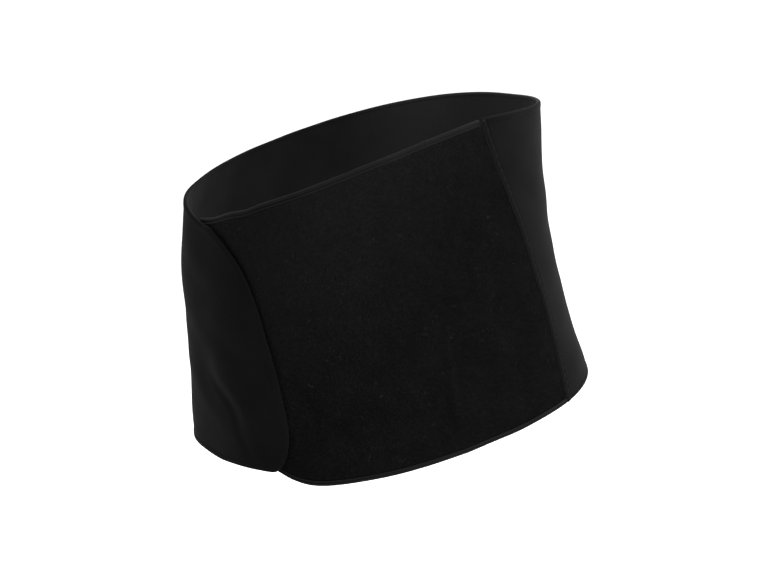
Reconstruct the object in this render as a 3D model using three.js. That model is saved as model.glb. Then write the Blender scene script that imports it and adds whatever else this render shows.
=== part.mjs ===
// Maternity support belt: a broad cloth wrap that closes round the belly and the back.
//
// The frame is the wearer's: +Z up, -Y in front of the belly, +X on the wearer's left.
// The origin lies on the middle line of the body, level with the belt's lower edge.
// A direction is the angle in degrees round that line, seen from above: 0 is the front,
// 90 the wearer's left, 180 the back and 270 (or -90) the wearer's right.
// A height share runs from 0 at the belt's lower edge to 1 at its upper edge.
// All sizes are in millimetres.

import * as THREE from 'three';

// Overall sizes of the closed belt, taken over its outer face.
const FRONT_HEIGHT = 240;
const HIP_WIDTH = 312;
const HIP_DEPTH = 233;
// Exponent of the rounded sections: 2 is an ellipse, a higher value is squarer.
const SQUARENESS = 2.5;

// Cloth thicknesses.
const BAND_THICKNESS = 2.5;
const PANEL_THICKNESS = 3;
const BINDING_THICKNESS = 0.8;
const HOOK_THICKNESS = 1.2;

// Widths of the sewn strips.
const TOP_BINDING_WIDTH = 6;
const BOTTOM_BINDING_WIDTH = 4;
const SEAM_WIDTH = 5;
const SEAM_THICKNESS = 0.9;
// How far the seam strip reaches over the front panel, past the joint.
const SEAM_OVER_PANEL = 1.5;

// Gap between two layers or edges that lie against each other.
const CLEARANCE = 0.35;

// The hook patch behind the flap's end.
const HOOK_INSET = 9;
const HOOK_LENGTH = 48;
const HOOK_LOWEST = 0.16;
const HOOK_HIGHEST = 0.6;

// The front panel's inner end, under the flap, on the wearer's right.
const PANEL_END_DIRECTION = -104;
const PANEL_END_CORNER = 8;
const PANEL_CORNER_RISE = 0.1;

// A little past the panel's inner end the band starts to come back in to the body, over
// this many degrees.
const BAND_RETURN = 24;
const BAND_RETURN_ROOM = 1;

// Sections of the closed belt, from its lower to its upper edge.
// left and right are half widths as shares of HIP_WIDTH.
// front and back are half depths as shares of HIP_DEPTH.
const SECTIONS = [
  { height: 0, left: 0.533, right: 0.471, front: 0.455, back: 0.545 },
  { height: 0.25, left: 0.488, right: 0.464, front: 0.442, back: 0.489 },
  { height: 0.5, left: 0.459, right: 0.457, front: 0.433, back: 0.455 },
  { height: 0.75, left: 0.453, right: 0.45, front: 0.429, back: 0.436 },
  { height: 1, left: 0.465, right: 0.42, front: 0.429, back: 0.423 },
];

// The lower and upper edge round the body, as shares of FRONT_HEIGHT above the origin.
const RING_EDGES = [
  { direction: 0, bottom: -0.039, top: 0.964 },
  { direction: 30, bottom: -0.029, top: 0.979 },
  { direction: 60, bottom: -0.011, top: 0.946 },
  { direction: 90, bottom: 0.008, top: 0.912 },
  { direction: 120, bottom: 0.021, top: 0.893 },
  { direction: 150, bottom: 0.025, top: 0.877 },
  { direction: 180, bottom: 0.025, top: 0.86 },
  { direction: 210, bottom: 0.021, top: 0.838 },
  { direction: 240, bottom: 0.012, top: 0.812 },
  { direction: 270, bottom: -0.004, top: 0.8 },
  { direction: 300, bottom: -0.029, top: 0.879 },
  { direction: 330, bottom: -0.038, top: 0.932 },
  { direction: 360, bottom: -0.039, top: 0.964 },
];

// The slanting side seam between the front panel and the band.
const SEAM_LINE = [
  { height: 0, direction: 49.4 },
  { height: 0.17, direction: 49.4 },
  { height: 0.35, direction: 47.7 },
  { height: 0.53, direction: 43.9 },
  { height: 0.7, direction: 38.2 },
  { height: 0.86, direction: 31.5 },
  { height: 1, direction: 26.7 },
];

// The front edge of the flap, without its two rounded corners.
const FLAP_EDGE = [
  { height: 0, direction: 298.5 },
  { height: 0.2, direction: 298.6 },
  { height: 0.4, direction: 296.8 },
  { height: 0.6, direction: 294 },
  { height: 0.8, direction: 292.5 },
  { height: 1, direction: 289.5 },
];

// The flap is narrower than the front panel, so its edges draw in towards its end.
const FLAP_TAPER = [
  { direction: 225, bottom: 0, top: 1 },
  { direction: 248, bottom: 0.012, top: 1 },
  { direction: 260, bottom: 0.021, top: 0.983 },
  { direction: 270, bottom: 0.026, top: 0.955 },
  { direction: 281, bottom: 0.043, top: 0.93 },
  { direction: 300, bottom: 0.056, top: 0.925 },
];

// The front panel narrows in the same way towards its own end, under the flap.
const PANEL_TAPER = [
  { direction: -104, bottom: 0.2, top: 0.955 },
  { direction: -90, bottom: 0.16, top: 0.977 },
  { direction: -78, bottom: 0.105, top: 0.989 },
  { direction: -70, bottom: 0.066, top: 0.982 },
  { direction: -66, bottom: 0.044, top: 0.984 },
  { direction: -62, bottom: 0.021, top: 0.986 },
  { direction: -57.5, bottom: 0.005, top: 0.988 },
  { direction: -53, bottom: 0, top: 0.99 },
  { direction: -40, bottom: 0, top: 0.997 },
  { direction: -25, bottom: 0, top: 1 },
  { direction: 0, bottom: 0, top: 1 },
];

// Rounded corners of the flap: their length in degrees, and the height share where each
// meets the front edge.
const FLAP_TOP_CORNER = { length: 18, meets: 0.56 };
const FLAP_BOTTOM_CORNER = { length: 6, meets: 0.22 };

// The soft fold that runs down the flap's lower corner. lift is a share of FOLD_LIFT.
const FOLD_LIFT = 2.6;
const FOLD_REACH = 7;
const FLAP_FOLD = [
  { direction: 269, height: 0.41, lift: 0 },
  { direction: 274.4, height: 0.36, lift: 0.6 },
  { direction: 279.6, height: 0.316, lift: 1 },
  { direction: 283, height: 0.272, lift: 1 },
  { direction: 284.6, height: 0.18, lift: 0.8 },
  { direction: 288.5, height: 0.09, lift: 0.2 },
];

// Soft dents and creases of the worn cloth, shared by all its layers.
// wide is in degrees and tall is a height share, both from the middle to where the dent
// has mostly faded. lift is a share of DENT_DEPTH, outward when positive.
const DENT_DEPTH = 2;
const DENTS = [
  { direction: -1.5, height: 0.2, wide: 3.2, tall: 0.18, lift: 0.6 },
  { direction: -27, height: 0.8, wide: 6, tall: 0.22, lift: -0.7 },
  { direction: -57, height: 0.24, wide: 7, tall: 0.24, lift: -0.9 },
  { direction: -95, height: 0.39, wide: 10, tall: 0.12, lift: -0.9 },
  { direction: 12, height: 0.55, wide: 6, tall: 0.3, lift: -0.5 },
  { direction: 118, height: 0.5, wide: 9, tall: 0.3, lift: -0.8 },
  { direction: 205, height: 0.45, wide: 10, tall: 0.3, lift: -0.7 },
];

// How finely the cloth is divided.
const COLUMN_STEP = 3.6;
const ROWS = 12;
const HOOK_ROWS = 10;
// Flats of a rounded edge. An odd number gives every outer point an inner one to face.
const EDGE_STEPS = 3;
const CORNER_STEPS = 6;

const DEGREE = Math.PI / 180;

function smooth(share) {
  const s = THREE.MathUtils.clamp(share, 0, 1);
  return s * s * (3 - 2 * s);
}

// The value of a column of a table, on a smooth curve through its rows.
function read(table, key, at, value) {
  const last = table.length - 1;
  let row = 0;
  while (row < last - 1 && at > table[row + 1][key]) row += 1;
  const from = table[row];
  const to = table[row + 1];
  const before = table[Math.max(row - 1, 0)];
  const after = table[Math.min(row + 2, last)];
  const span = to[key] - from[key];
  const share = THREE.MathUtils.clamp((at - from[key]) / span, 0, 1);
  const slopeFrom = ((to[value] - before[value]) / (to[key] - before[key])) * span;
  const slopeTo = ((after[value] - from[value]) / (after[key] - from[key])) * span;
  const s2 = share * share;
  const s3 = s2 * share;
  return (
    from[value] * (2 * s3 - 3 * s2 + 1) +
    slopeFrom * (s3 - 2 * s2 + share) +
    to[value] * (3 * s2 - 2 * s3) +
    slopeTo * (s3 - s2)
  );
}

function wrap(direction) {
  return ((direction % 360) + 360) % 360;
}

function edgeHeight(direction, edge) {
  return FRONT_HEIGHT * read(RING_EDGES, 'direction', wrap(direction), edge);
}

function beltHeight(direction) {
  return edgeHeight(direction, 'top') - edgeHeight(direction, 'bottom');
}

// A length in millimetres as a height share at a direction.
function heightShare(length, direction) {
  return length / beltHeight(direction);
}

// How far the dents move the cloth outward at a place.
function dentLift(direction, height) {
  let lift = 0;
  for (const dent of DENTS) {
    const turn = wrap(direction - dent.direction + 180) - 180;
    const across = turn / dent.wide;
    const along = (height - dent.height) / dent.tall;
    lift += dent.lift * Math.exp(-2 * (across * across + along * along));
  }
  return lift * DENT_DEPTH;
}

// The outline of one section: a rounded shape with its own half width on each side and
// its own half depth in front and behind.
function sectionPoint(direction, height) {
  const sine = Math.sin(direction * DEGREE);
  const cosine = Math.cos(direction * DEGREE);
  const side = sine >= 0 ? 'left' : 'right';
  const face = cosine >= 0 ? 'front' : 'back';
  const halfWidth = HIP_WIDTH * read(SECTIONS, 'height', height, side);
  const halfDepth = HIP_DEPTH * read(SECTIONS, 'height', height, face);
  const radius =
    (Math.abs(sine / halfWidth) ** SQUARENESS + Math.abs(cosine / halfDepth) ** SQUARENESS) **
    (-1 / SQUARENESS);
  return new THREE.Vector2(radius * sine, -radius * cosine);
}

// A point on the belt's outer face, moved outward by a distance.
function beltPoint(direction, height, outward) {
  const step = 0.05;
  const point = sectionPoint(direction, height);
  const along = sectionPoint(direction + step, height).sub(point).normalize();
  const reach = outward + dentLift(direction, height);
  const bottom = edgeHeight(direction, 'bottom');
  return new THREE.Vector3(
    point.x + along.y * reach,
    point.y - along.x * reach,
    bottom + height * beltHeight(direction),
  );
}

// A length in millimetres round the belt as degrees at a place.
function degrees(length, direction, height) {
  const here = sectionPoint(direction, height);
  const onePast = sectionPoint(direction + 1, height);
  return length / here.distanceTo(onePast);
}

const seamDirection = (height) => read(SEAM_LINE, 'height', height, 'direction');
const flapDirection = (height) => read(FLAP_EDGE, 'height', height, 'direction');

// The direction at a position from 0 to 1 between a piece's two ends.
function between(start, end, position, height) {
  return start(height) + position * (end(height) - start(height));
}

// Positions from 0 to 1 along a piece that is sweep degrees long. An end with a rounded
// corner of that many degrees has its columns closer together.
function columnPositions(sweep, cornerAtStart, cornerAtEnd) {
  const positions = [];
  for (let i = 0; i < CORNER_STEPS && cornerAtStart > 0; i += 1) {
    positions.push(cornerAtStart * (1 - Math.cos((i / CORNER_STEPS) * 90 * DEGREE)));
  }
  const plain = sweep - cornerAtStart - cornerAtEnd;
  const count = Math.ceil(plain / COLUMN_STEP);
  for (let i = 0; i <= count; i += 1) {
    positions.push(cornerAtStart + (plain * i) / count);
  }
  for (let i = CORNER_STEPS - 1; i >= 0 && cornerAtEnd > 0; i -= 1) {
    positions.push(sweep - cornerAtEnd * (1 - Math.cos((i / CORNER_STEPS) * 90 * DEGREE)));
  }
  return positions.map((position) => position / sweep);
}

// How far a rounded corner has drawn an edge in, from 0 where it starts to 1 at the end.
function cornerShare(toEnd, length) {
  const share = THREE.MathUtils.clamp(1 - toEnd / length, 0, 1);
  return 1 - Math.sqrt(1 - share * share);
}

// Joins closed sections, one for each column, into a closed solid with flat ends.
// Each section is a list of points, first up its outer face and then down its inner face.
function solidFromSections(sections) {
  const around = sections[0].length;
  const positions = sections.flat().flatMap((point) => [point.x, point.y, point.z]);
  const faces = [];
  for (let column = 0; column < sections.length - 1; column += 1) {
    for (let i = 0; i < around; i += 1) {
      const a = column * around + i;
      const b = column * around + ((i + 1) % around);
      faces.push(a, a + around, b + around, a, b + around, b);
    }
  }
  const lastColumn = (sections.length - 1) * around;
  for (let i = 0; i < around / 2 - 1; i += 1) {
    const across = around - 1 - i;
    faces.push(i, i + 1, across - 1, i, across - 1, across);
    faces.push(lastColumn + i, lastColumn + across - 1, lastColumn + i + 1);
    faces.push(lastColumn + i, lastColumn + across, lastColumn + across - 1);
  }
  const geometry = new THREE.BufferGeometry();
  geometry.setAttribute('position', new THREE.Float32BufferAttribute(positions, 3));
  geometry.setIndex(faces);
  geometry.computeVertexNormals();
  return geometry;
}

// A layer of cloth on the belt, with rounded upper and lower edges.
// start and end give the direction of its two ends at a height share.
// bottom and top give the height shares of its two edges at a direction.
// outer gives how far its outer face stands out from the belt's outer face.
function clothLayer({ start, end, bottom, top, outer, thickness, positions, rows }) {
  const half = thickness / 2;
  const sections = positions.map((position) => {
    const place = (height, depth) => {
      const direction = between(start, end, position, height);
      return beltPoint(direction, height, outer(direction, height) - depth);
    };
    const low = bottom(between(start, end, position, 0));
    const high = top(between(start, end, position, 1));
    const round = heightShare(half, between(start, end, position, 0.5));
    const outerFace = [];
    const innerFace = [];
    for (let row = 0; row <= rows; row += 1) {
      const even = low + ((high - low) * row) / rows;
      const height = THREE.MathUtils.clamp(even, low + round, high - round);
      outerFace.push(place(height, 0));
      innerFace.unshift(place(height, thickness));
    }
    const edge = (height, sign) => {
      const points = [];
      for (let step = 1; step < EDGE_STEPS; step += 1) {
        const angle = (step / EDGE_STEPS) * Math.PI;
        const depth = half * (1 - sign * Math.cos(angle));
        points.push(place(height + sign * round * (Math.sin(angle) - 1), depth));
      }
      return points;
    };
    return [...outerFace, ...edge(high, 1), ...innerFace, ...edge(low, -1)];
  });
  return solidFromSections(rotateSections(sections));
}

// Starts each section in the middle of its lower edge, so that the flat ends close with
// each outer point joined to the inner point behind it.
function rotateSections(sections) {
  const shift = (EDGE_STEPS - 1) / 2;
  return sections.map((section) => [...section.slice(-shift), ...section.slice(0, -shift)]);
}

// A strip folded over one edge of the front panel, as a U whose legs lie on its two faces.
function edgeBinding({ start, end, edge, upward, width, thickness, covered, positions }) {
  const innerRadius = covered / 2 + CLEARANCE;
  const outerRadius = innerRadius + thickness;
  const sections = positions.map((position) => {
    const atEdge = between(start, end, position, upward > 0 ? 1 : 0);
    const place = (drop, depth) => {
      const height = edge(atEdge) - upward * heightShare(drop, atEdge);
      return beltPoint(between(start, end, position, height), height, -depth);
    };
    const path = (radius) => {
      const points = [place(width, covered / 2 - radius)];
      for (let step = 0; step <= EDGE_STEPS; step += 1) {
        const angle = (step / EDGE_STEPS) * Math.PI;
        const drop = outerRadius - radius * Math.sin(angle);
        points.push(place(drop, covered / 2 - radius * Math.cos(angle)));
      }
      points.push(place(width, covered / 2 + radius));
      return points;
    };
    const section = [...path(outerRadius), ...path(innerRadius).reverse()];
    return upward > 0 ? section : section.reverse();
  });
  return solidFromSections(sections);
}

function piece(name, geometry, colour, roughness) {
  const material = new THREE.MeshStandardMaterial({ color: colour, roughness, metalness: 0 });
  const mesh = new THREE.Mesh(geometry, material);
  mesh.name = name;
  return mesh;
}

const SMOOTH_CLOTH = 0x242427;
const PILE_CLOTH = 0x141415;
const SEAM_CLOTH = 0x2a2a2d;
const HOOK_TAPE = 0x19191b;

// The flap lies over the panel and the hook patch, with a gap on each side of the patch.
const FLAP_STANDS_OUT = CLEARANCE + HOOK_THICKNESS + CLEARANCE + BAND_THICKNESS;
// The bound edges of the panel end level with the band's own edges.
const BINDING_OVER_EDGE = CLEARANCE + BINDING_THICKNESS;

function bandBody() {
  const start = (height) => {
    const seam = seamDirection(height);
    return seam + degrees(CLEARANCE / 2, seam, height);
  };
  const end = flapDirection;
  const sweep = end(0.5) - start(0.5);
  const limit = (direction, edge) => {
    const tapered = Math.max(direction, FLAP_TAPER[0].direction);
    return read(FLAP_TAPER, 'direction', tapered, edge);
  };
  const bottom = (direction) => {
    const low = limit(direction, 'bottom');
    const corner = cornerShare(end(0) - direction, FLAP_BOTTOM_CORNER.length);
    return low + (FLAP_BOTTOM_CORNER.meets - low) * corner;
  };
  const top = (direction) => {
    const high = limit(direction, 'top');
    const corner = cornerShare(end(1) - direction, FLAP_TOP_CORNER.length);
    return high + (FLAP_TOP_CORNER.meets - high) * corner;
  };
  const outer = (direction, height) => {
    const full = wrap(PANEL_END_DIRECTION) - BAND_RETURN_ROOM;
    const over = smooth(1 - (full - direction) / BAND_RETURN);
    return FLAP_STANDS_OUT * over + foldLift(direction, height);
  };
  return clothLayer({
    start,
    end,
    bottom,
    top,
    outer,
    thickness: BAND_THICKNESS,
    positions: columnPositions(sweep, 0, FLAP_TOP_CORNER.length),
    rows: ROWS,
  });
}

// How far the flap's fold stands out: a ridge along the rows of FLAP_FOLD.
function foldLift(direction, height) {
  if (direction < FLAP_TAPER[0].direction) return 0;
  let lift = 0;
  for (let row = 0; row < FLAP_FOLD.length - 1; row += 1) {
    const from = FLAP_FOLD[row];
    const to = FLAP_FOLD[row + 1];
    const flat = (d, h) =>
      new THREE.Vector2(d / degrees(1, from.direction, from.height), h * beltHeight(from.direction));
    const a = flat(from.direction, from.height);
    const along = flat(to.direction, to.height).sub(a);
    const point = flat(direction, height).sub(a);
    const share = THREE.MathUtils.clamp(point.dot(along) / along.lengthSq(), 0, 1);
    const away = point.sub(along.multiplyScalar(share)).length() / FOLD_REACH;
    const crest = from.lift + share * (to.lift - from.lift);
    lift = Math.max(lift, crest * Math.exp(-away * away));
  }
  return FOLD_LIFT * lift;
}

// The front panel's two ends and its bound edges.
const panelStart = () => PANEL_END_DIRECTION;
const panelEnd = (height) => {
  const seam = seamDirection(height);
  return seam - degrees(CLEARANCE / 2, seam, height);
};
// The finished edges of the panel, over its bindings, as height shares at a direction.
function panelEdge(direction, edge) {
  return read(PANEL_TAPER, 'direction', Math.min(direction, 0), edge);
}

function frontPanel() {
  const sweep = panelEnd(0.5) - panelStart();
  const drawnIn = (direction) =>
    heightShare(BINDING_OVER_EDGE, direction) +
    PANEL_CORNER_RISE * cornerShare(direction - panelStart(), PANEL_END_CORNER);
  return clothLayer({
    start: panelStart,
    end: panelEnd,
    bottom: (direction) => panelEdge(direction, 'bottom') + drawnIn(direction),
    top: (direction) => panelEdge(direction, 'top') - drawnIn(direction),
    outer: () => 0,
    thickness: PANEL_THICKNESS,
    positions: columnPositions(sweep, PANEL_END_CORNER, 0),
    rows: ROWS,
  });
}

// A binding runs from the panel's rounded inner corner to the seam strip.
function panelBinding(upward, width) {
  const start = () => PANEL_END_DIRECTION + PANEL_END_CORNER;
  const end = (height) => {
    const seam = seamDirection(height);
    return seam - degrees(SEAM_OVER_PANEL + CLEARANCE, seam, height);
  };
  return edgeBinding({
    start,
    end,
    edge: (direction) => panelEdge(direction, upward > 0 ? 'top' : 'bottom'),
    upward,
    width,
    thickness: BINDING_THICKNESS,
    covered: PANEL_THICKNESS,
    positions: columnPositions(end(0.5) - start(), 0, 0),
  });
}

function sideSeam() {
  const start = (height) => {
    const seam = seamDirection(height);
    return seam - degrees(SEAM_OVER_PANEL, seam, height);
  };
  const end = (height) => start(height) + degrees(SEAM_WIDTH, seamDirection(height), height);
  const inset = heightShare(BAND_THICKNESS, seamDirection(0.5));
  return clothLayer({
    start,
    end,
    bottom: () => inset,
    top: () => 1 - inset,
    outer: () => CLEARANCE + SEAM_THICKNESS,
    thickness: SEAM_THICKNESS,
    positions: [0, 0.5, 1],
    rows: ROWS,
  });
}

function hookPatch() {
  const end = (height) => {
    const edge = flapDirection(height);
    return edge - degrees(HOOK_INSET, edge, height);
  };
  const start = (height) => end(height) - degrees(HOOK_LENGTH, end(height), height);
  return clothLayer({
    start,
    end,
    bottom: () => HOOK_LOWEST,
    top: () => HOOK_HIGHEST,
    outer: () => CLEARANCE + HOOK_THICKNESS,
    thickness: HOOK_THICKNESS,
    positions: columnPositions(end(0.5) - start(0.5), 0, 0),
    rows: HOOK_ROWS,
  });
}

const belt = new THREE.Group();
belt.name = 'maternity_support_belt';
belt.add(piece('body_band', bandBody(), SMOOTH_CLOTH, 0.82));
belt.add(piece('front_panel', frontPanel(), PILE_CLOTH, 0.95));
belt.add(piece('top_edge_binding', panelBinding(1, TOP_BINDING_WIDTH), SEAM_CLOTH, 0.8));
belt.add(piece('bottom_edge_binding', panelBinding(-1, BOTTOM_BINDING_WIDTH), SEAM_CLOTH, 0.8));
belt.add(piece('side_seam', sideSeam(), SEAM_CLOTH, 0.8));
belt.add(piece('hook_patch', hookPatch(), HOOK_TAPE, 0.9));

export default belt;
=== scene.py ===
import math

import bpy
import numpy as np
from mathutils import Matrix, Vector
from mathutils.kdtree import KDTree


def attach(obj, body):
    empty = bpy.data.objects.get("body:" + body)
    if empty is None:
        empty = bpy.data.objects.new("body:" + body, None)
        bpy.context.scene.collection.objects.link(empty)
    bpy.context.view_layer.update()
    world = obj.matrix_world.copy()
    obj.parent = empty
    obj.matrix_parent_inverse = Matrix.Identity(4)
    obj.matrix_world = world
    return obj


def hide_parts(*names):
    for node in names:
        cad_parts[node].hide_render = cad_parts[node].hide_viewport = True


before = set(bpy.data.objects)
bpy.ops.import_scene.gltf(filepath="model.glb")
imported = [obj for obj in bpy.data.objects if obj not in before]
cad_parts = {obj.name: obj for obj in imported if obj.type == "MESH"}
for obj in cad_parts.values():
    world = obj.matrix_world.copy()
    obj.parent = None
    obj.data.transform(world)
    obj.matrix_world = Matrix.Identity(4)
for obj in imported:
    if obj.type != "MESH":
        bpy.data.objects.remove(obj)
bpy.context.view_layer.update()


# Body band.
# The broad smooth part of the belt: a thin foam with stretch knit bonded to both of its faces, cut in one
# piece that runs from the side seam round the back to the rounded flap at the front right. Its edge is
# turned once and held by a line of lockstitch 5 mm in.

def table(columns, *rows):
    """A short table as a dictionary of its columns."""
    return {name: np.array(column, float) for name, column in zip(columns.split(), zip(*rows))}


def read(rows, key, at, value):
    """A column of a table on a smooth curve through its rows."""
    at = np.asarray(at, float)
    x, y = rows[key], rows[value]
    last = len(x) - 1
    here = np.searchsorted(x[1:last], at, side="left")
    before, after = np.maximum(here - 1, 0), np.minimum(here + 2, last)
    span = x[here + 1] - x[here]
    share = np.clip((at - x[here]) / span, 0, 1)
    slope_from = (y[here + 1] - y[before]) / (x[here + 1] - x[before]) * span
    slope_to = (y[after] - y[here]) / (x[after] - x[here]) * span
    s2, s3 = share ** 2, share ** 3
    return (y[here] * (2 * s3 - 3 * s2 + 1) + slope_from * (s3 - 2 * s2 + share)
            + y[here + 1] * (3 * s2 - 2 * s3) + slope_to * (s3 - s2))


# Metres in a millimetre. The belt's sizes are millimetres, apart from shares, degrees and the exponent
# of the rounded sections.
MM = 0.001
FRONT_HEIGHT, HIP_WIDTH, HIP_DEPTH, SQUARENESS = 240, 312, 233, 2.5
SECTIONS = table("height left right front back",
                 (0, 0.533, 0.471, 0.455, 0.545), (0.25, 0.488, 0.464, 0.442, 0.489),
                 (0.5, 0.459, 0.457, 0.433, 0.455), (0.75, 0.453, 0.45, 0.429, 0.436),
                 (1, 0.465, 0.42, 0.429, 0.423))
RING_EDGES = table("direction bottom top",
                   (0, -0.039, 0.964), (30, -0.029, 0.979), (60, -0.011, 0.946), (90, 0.008, 0.912),
                   (120, 0.021, 0.893), (150, 0.025, 0.877), (180, 0.025, 0.86), (210, 0.021, 0.838),
                   (240, 0.012, 0.812), (270, -0.004, 0.8), (300, -0.029, 0.879), (330, -0.038, 0.932),
                   (360, -0.039, 0.964))
SEAM_LINE = table("height direction",
                  (0, 49.4), (0.17, 49.4), (0.35, 47.7), (0.53, 43.9), (0.7, 38.2), (0.86, 31.5),
                  (1, 26.7))
FLAP_EDGE = table("height direction",
                  (0, 298.5), (0.2, 298.6), (0.4, 296.8), (0.6, 294), (0.8, 292.5), (1, 289.5))
FLAP_TAPER = table("direction bottom top",
                   (225, 0, 1), (248, 0.012, 1), (260, 0.021, 0.983), (270, 0.026, 0.955),
                   (281, 0.043, 0.93), (300, 0.056, 0.925))
FLAP_TOP_CORNER = {"length": 18, "meets": 0.56}
FLAP_BOTTOM_CORNER = {"length": 6, "meets": 0.22}
FLAP_FOLD = table("direction height lift",
                  (269, 0.41, 0), (274.4, 0.36, 0.6), (279.6, 0.316, 1), (283, 0.272, 1),
                  (284.6, 0.18, 0.8), (288.5, 0.09, 0.2))
FOLD_LIFT, FOLD_SLOPE, FOLD_REACH, FOLD_CREASE, FOLD_HOLLOW, FOLD_BANK = 1.8, 6.5, 13, 2.4, 0.19, 0.4
DENT_DEPTH = 2
DENTS = table("direction height wide tall lift",
              (-1.5, 0.2, 3.2, 0.18, 0.6), (-27, 0.8, 6, 0.22, -0.7), (-57, 0.24, 7, 0.24, -0.9),
              (-95, 0.39, 10, 0.12, -0.9), (12, 0.55, 6, 0.3, -0.5), (118, 0.5, 9, 0.3, -0.8),
              (205, 0.45, 10, 0.3, -0.7))
BAND_THICKNESS, PANEL_THICKNESS, BINDING_THICKNESS, HOOK_THICKNESS = 2.5, 3, 0.8, 1.2
CLEARANCE = 0.35
PANEL_END_DIRECTION, BAND_RETURN, BAND_RETURN_ROOM = -104, 24, 1
FLAP_STANDS_OUT = CLEARANCE + HOOK_THICKNESS + CLEARANCE + BAND_THICKNESS


def smooth(share):
    s = np.clip(share, 0, 1)
    return s * s * (3 - 2 * s)


def edge_height(direction, edge):
    return FRONT_HEIGHT * read(RING_EDGES, "direction", np.mod(direction, 360), edge)


def belt_height(direction):
    return edge_height(direction, "top") - edge_height(direction, "bottom")


def waves(direction, height, seed, count, shortest, longest):
    """A soft random swell from -1 to 1, from sine waves between two lengths in millimetres."""
    draw = np.random.default_rng(seed)
    x, y = np.radians(direction) * HIP_WIDTH / 2, height * FRONT_HEIGHT
    total = np.zeros(np.broadcast(x, y).shape)
    for _ in range(count):
        turn, start = draw.uniform(0, 2 * math.pi, 2)
        pace = 2 * math.pi / draw.uniform(shortest, longest)
        total += np.sin(pace * (x * math.cos(turn) + y * math.sin(turn)) + start)
    return total / math.sqrt(2 * count)


def dent_lift(direction, height):
    """How far the dents of the well-used cloth move all its layers outward."""
    lift = 0
    for at, share, wide, tall, rise in zip(*DENTS.values()):
        turn = np.mod(direction - at + 180, 360) - 180
        lift = lift + rise * np.exp(-2 * ((turn / wide) ** 2 + ((height - share) / tall) ** 2))
    return lift * DENT_DEPTH


def section_point(direction, height):
    """The outline of one level section, with its own half width on each side."""
    sine, cosine = np.sin(np.radians(direction)), np.cos(np.radians(direction))
    left, right, front, back = (read(SECTIONS, "height", height, side)
                                for side in ("left", "right", "front", "back"))
    half_width = HIP_WIDTH * np.where(sine >= 0, left, right)
    half_depth = HIP_DEPTH * np.where(cosine >= 0, front, back)
    radius = (np.abs(sine / half_width) ** SQUARENESS
              + np.abs(cosine / half_depth) ** SQUARENESS) ** (-1 / SQUARENESS)
    return np.stack([radius * sine, -radius * cosine], -1)


UNEVEN = 0.35


def belt_point(direction, height, outward):
    """Points on the belt's outer face, moved outward by a distance in millimetres."""
    direction, height, outward = np.broadcast_arrays(direction, height, outward)
    point = section_point(direction, height)
    along = section_point(direction + 0.05, height) - point
    along /= np.linalg.norm(along, axis=-1, keepdims=True)
    swell = waves(np.mod(direction, 360), height, seed=11, count=9, shortest=22, longest=70)
    reach = outward + dent_lift(direction, height) + UNEVEN * swell
    z = edge_height(direction, "bottom") + height * belt_height(direction)
    return np.stack([point[..., 0] + along[..., 1] * reach,
                     point[..., 1] - along[..., 0] * reach, z], -1)


def degrees(length, direction, height):
    """A length round the belt in degrees at a place."""
    step = section_point(direction + 1, height) - section_point(direction, height)
    return length / np.linalg.norm(step, axis=-1)


def seam_direction(height):
    return read(SEAM_LINE, "height", height, "direction")


def beside_seam(height, length):
    """The direction that is a length in millimetres past the seam's line, towards the band."""
    seam = seam_direction(height)
    return seam + degrees(length, seam, height)


def corner_share(to_end, length):
    share = np.clip(1 - to_end / length, 0, 1)
    return 1 - np.sqrt(1 - share ** 2)


# Distances from an edge, close together where it is rolled and stitched.
EDGE_ROWS = np.array([0, 0.12, 0.45, 0.9, 1.4, 2, 2.8, 3.6, 4.2, 4.6, 4.9, 5.2, 5.6, 6.4, 7.8])


def row_heights(low, high, direction, count):
    """Height shares of the rows of each column, close together near both edges."""
    near = EDGE_ROWS[:, None] / belt_height(direction)
    middle = np.linspace(0, 1, count + 2)[1:-1, None]
    inner_low, inner_high = low + near[-1], high - near[-1]
    return np.concatenate([low + near, inner_low + middle * (inner_high - inner_low), (high - near)[::-1]])


def column_places(length, corner_at_start, corner_at_end, step, turns=36):
    """Positions from 0 to 1 along a piece, close together near both ends. All lengths are millimetres."""
    turned = 1 - np.cos(np.linspace(0, math.pi / 2, turns))
    first = corner_at_start * turned if corner_at_start else EDGE_ROWS
    last = corner_at_end * turned if corner_at_end else EDGE_ROWS
    plain = length - first[-1] - last[-1]
    middle = first[-1] + plain * np.linspace(0, 1, round(plain / step) + 1)[1:-1]
    return np.concatenate([first, middle, (length - last)[::-1]]) / length


def edge_distance(points, outline):
    """The distance of each point from a closed outline, in millimetres."""
    tree = KDTree(len(outline))
    for i, point in enumerate(outline):
        tree.insert(point, i)
    tree.balance()
    flat = points.reshape(-1, 3)
    nearest = np.array([tree.find(point)[1] for point in flat])
    best = np.full(len(flat), np.inf)
    for shift in (-1, 0):
        a = outline[(nearest + shift) % len(outline)]
        b = outline[(nearest + shift + 1) % len(outline)]
        along = b - a
        share = np.clip(((flat - a) * along).sum(1) / np.maximum((along ** 2).sum(1), 1e-12), 0, 1)
        best = np.minimum(best, np.linalg.norm(flat - a - share[:, None] * along, axis=1))
    return best.reshape(points.shape[:-1])


def place_object(name, data):
    """A new object in the scene."""
    made = bpy.data.objects.new(name, data)
    bpy.context.scene.collection.objects.link(made)
    return made


def give_values(mesh, name, values):
    """Keeps a number for each point of a mesh."""
    mesh.attributes.new(name, "FLOAT", "POINT").data.foreach_set("value", values.astype(np.float32))


def along_line(points):
    """How far along a line of points each of them is."""
    return np.concatenate([[0], np.cumsum(np.linalg.norm(np.diff(points, axis=0), axis=1))])


def level(value):
    """A function that gives the same value at every place."""
    return lambda place, height=0: value + 0 * place


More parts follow.
